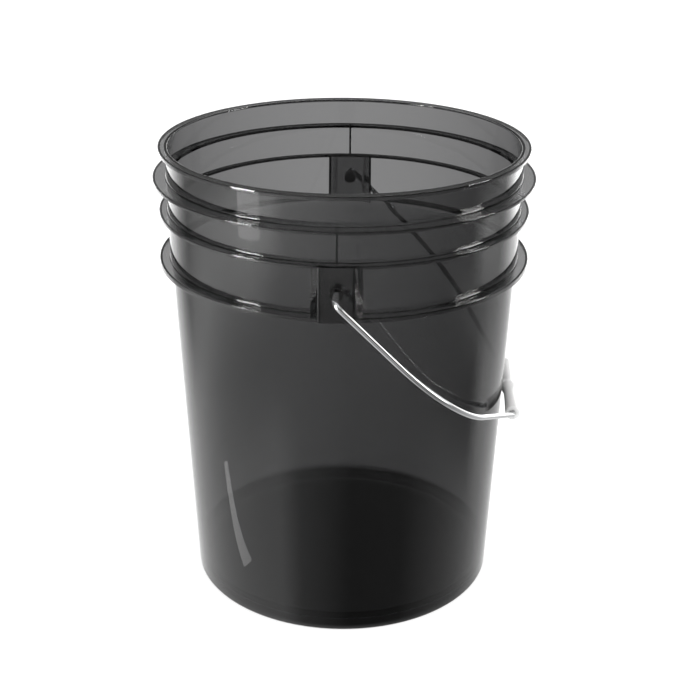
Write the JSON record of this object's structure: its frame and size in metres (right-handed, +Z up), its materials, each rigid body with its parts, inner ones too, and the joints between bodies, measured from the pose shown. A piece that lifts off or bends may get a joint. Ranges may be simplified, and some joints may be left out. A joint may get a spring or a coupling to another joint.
{
  "type": "wash bucket",
  "caption": "Round tapered see-through plastic wash bucket with stiffening rings below the rim, ears, a swinging wire bail and a plastic grip.",
  "frame": {"origin": "centre of the footprint, at the height the foot stands on", "axes": "+Z up along the bucket's axis; the bail hinges along Y and hangs on the +X side"},
  "size_m": [0.3023, 0.3434, 0.372],
  "materials": {
    "tinted_plastic": "gloss",
    "wire": "gloss",
    "white_plastic": "satin"
  },
  "bodies": {
    "bucket_body": {"bucket": "tinted_plastic"},
    "bail_body": {"bail": "wire"},
    "grip_body": {"grip": "white_plastic"}
  },
  "joints": [
    {"name": "bail_swing", "type": "hinge", "parent": "bucket_body", "child": "bail_body", "pos_m": [0, 0, 0.3008], "axis": [0, -1, 0], "range_deg": [0, 270]},
    {"name": "grip_spin", "type": "hinge", "parent": "bail_body", "child": "grip_body", "pos_m": [0.13975, 0, 0.16105], "axis": [0, 1, 0], "continuous": true}
  ]
}
